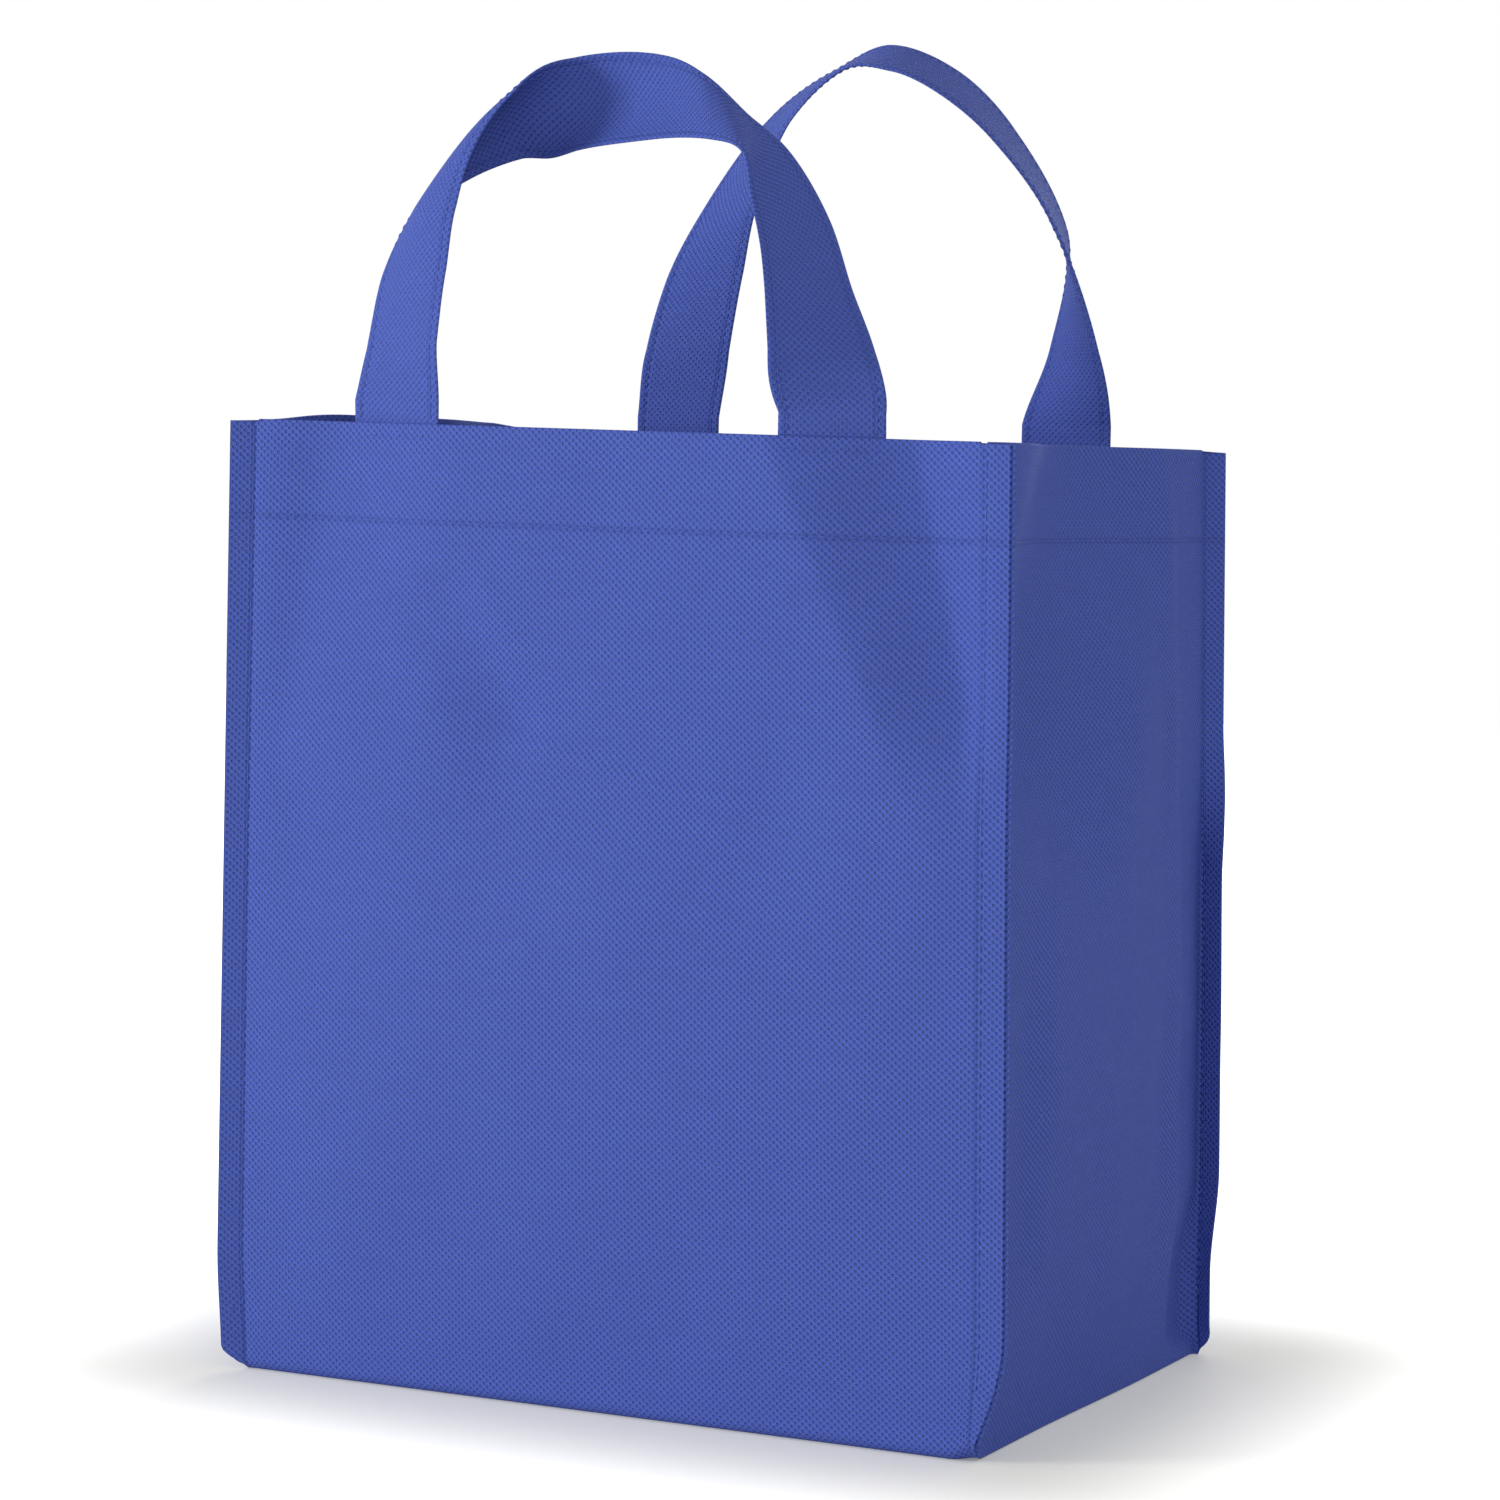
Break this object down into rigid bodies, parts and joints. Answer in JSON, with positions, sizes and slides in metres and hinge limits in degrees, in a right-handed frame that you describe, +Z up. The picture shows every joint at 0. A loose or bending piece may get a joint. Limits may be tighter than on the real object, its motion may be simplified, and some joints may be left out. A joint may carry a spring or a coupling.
{
  "type": "reusable grocery tote",
  "caption": "Sewn grocery tote of embossed spun-bonded cloth, standing open and empty, with pinched corner seams, a deep rim hem and soft strap handles.",
  "frame": {"origin": "on the floor, under the middle of the base", "axes": "+Z up, the front panel faces -Y, +X towards the bag's right side as seen from the front"},
  "size_m": [0.3043, 0.2325, 0.4843],
  "materials": {
    "panel_cloth": "matt spun-bonded polypropylene with a fine embossed dot pattern",
    "strap_cloth": "the same cloth folded into a strap and stitched along both edges",
    "insert_board": "smooth matt plastic board"
  },
  "bodies": {
    "root": {"body_panel": "panel_cloth", "left_side_panel": "panel_cloth", "right_side_panel": "panel_cloth", "front_handle": "strap_cloth", "back_handle": "strap_cloth", "base_insert": "insert_board"}
  },
  "joints": []
}
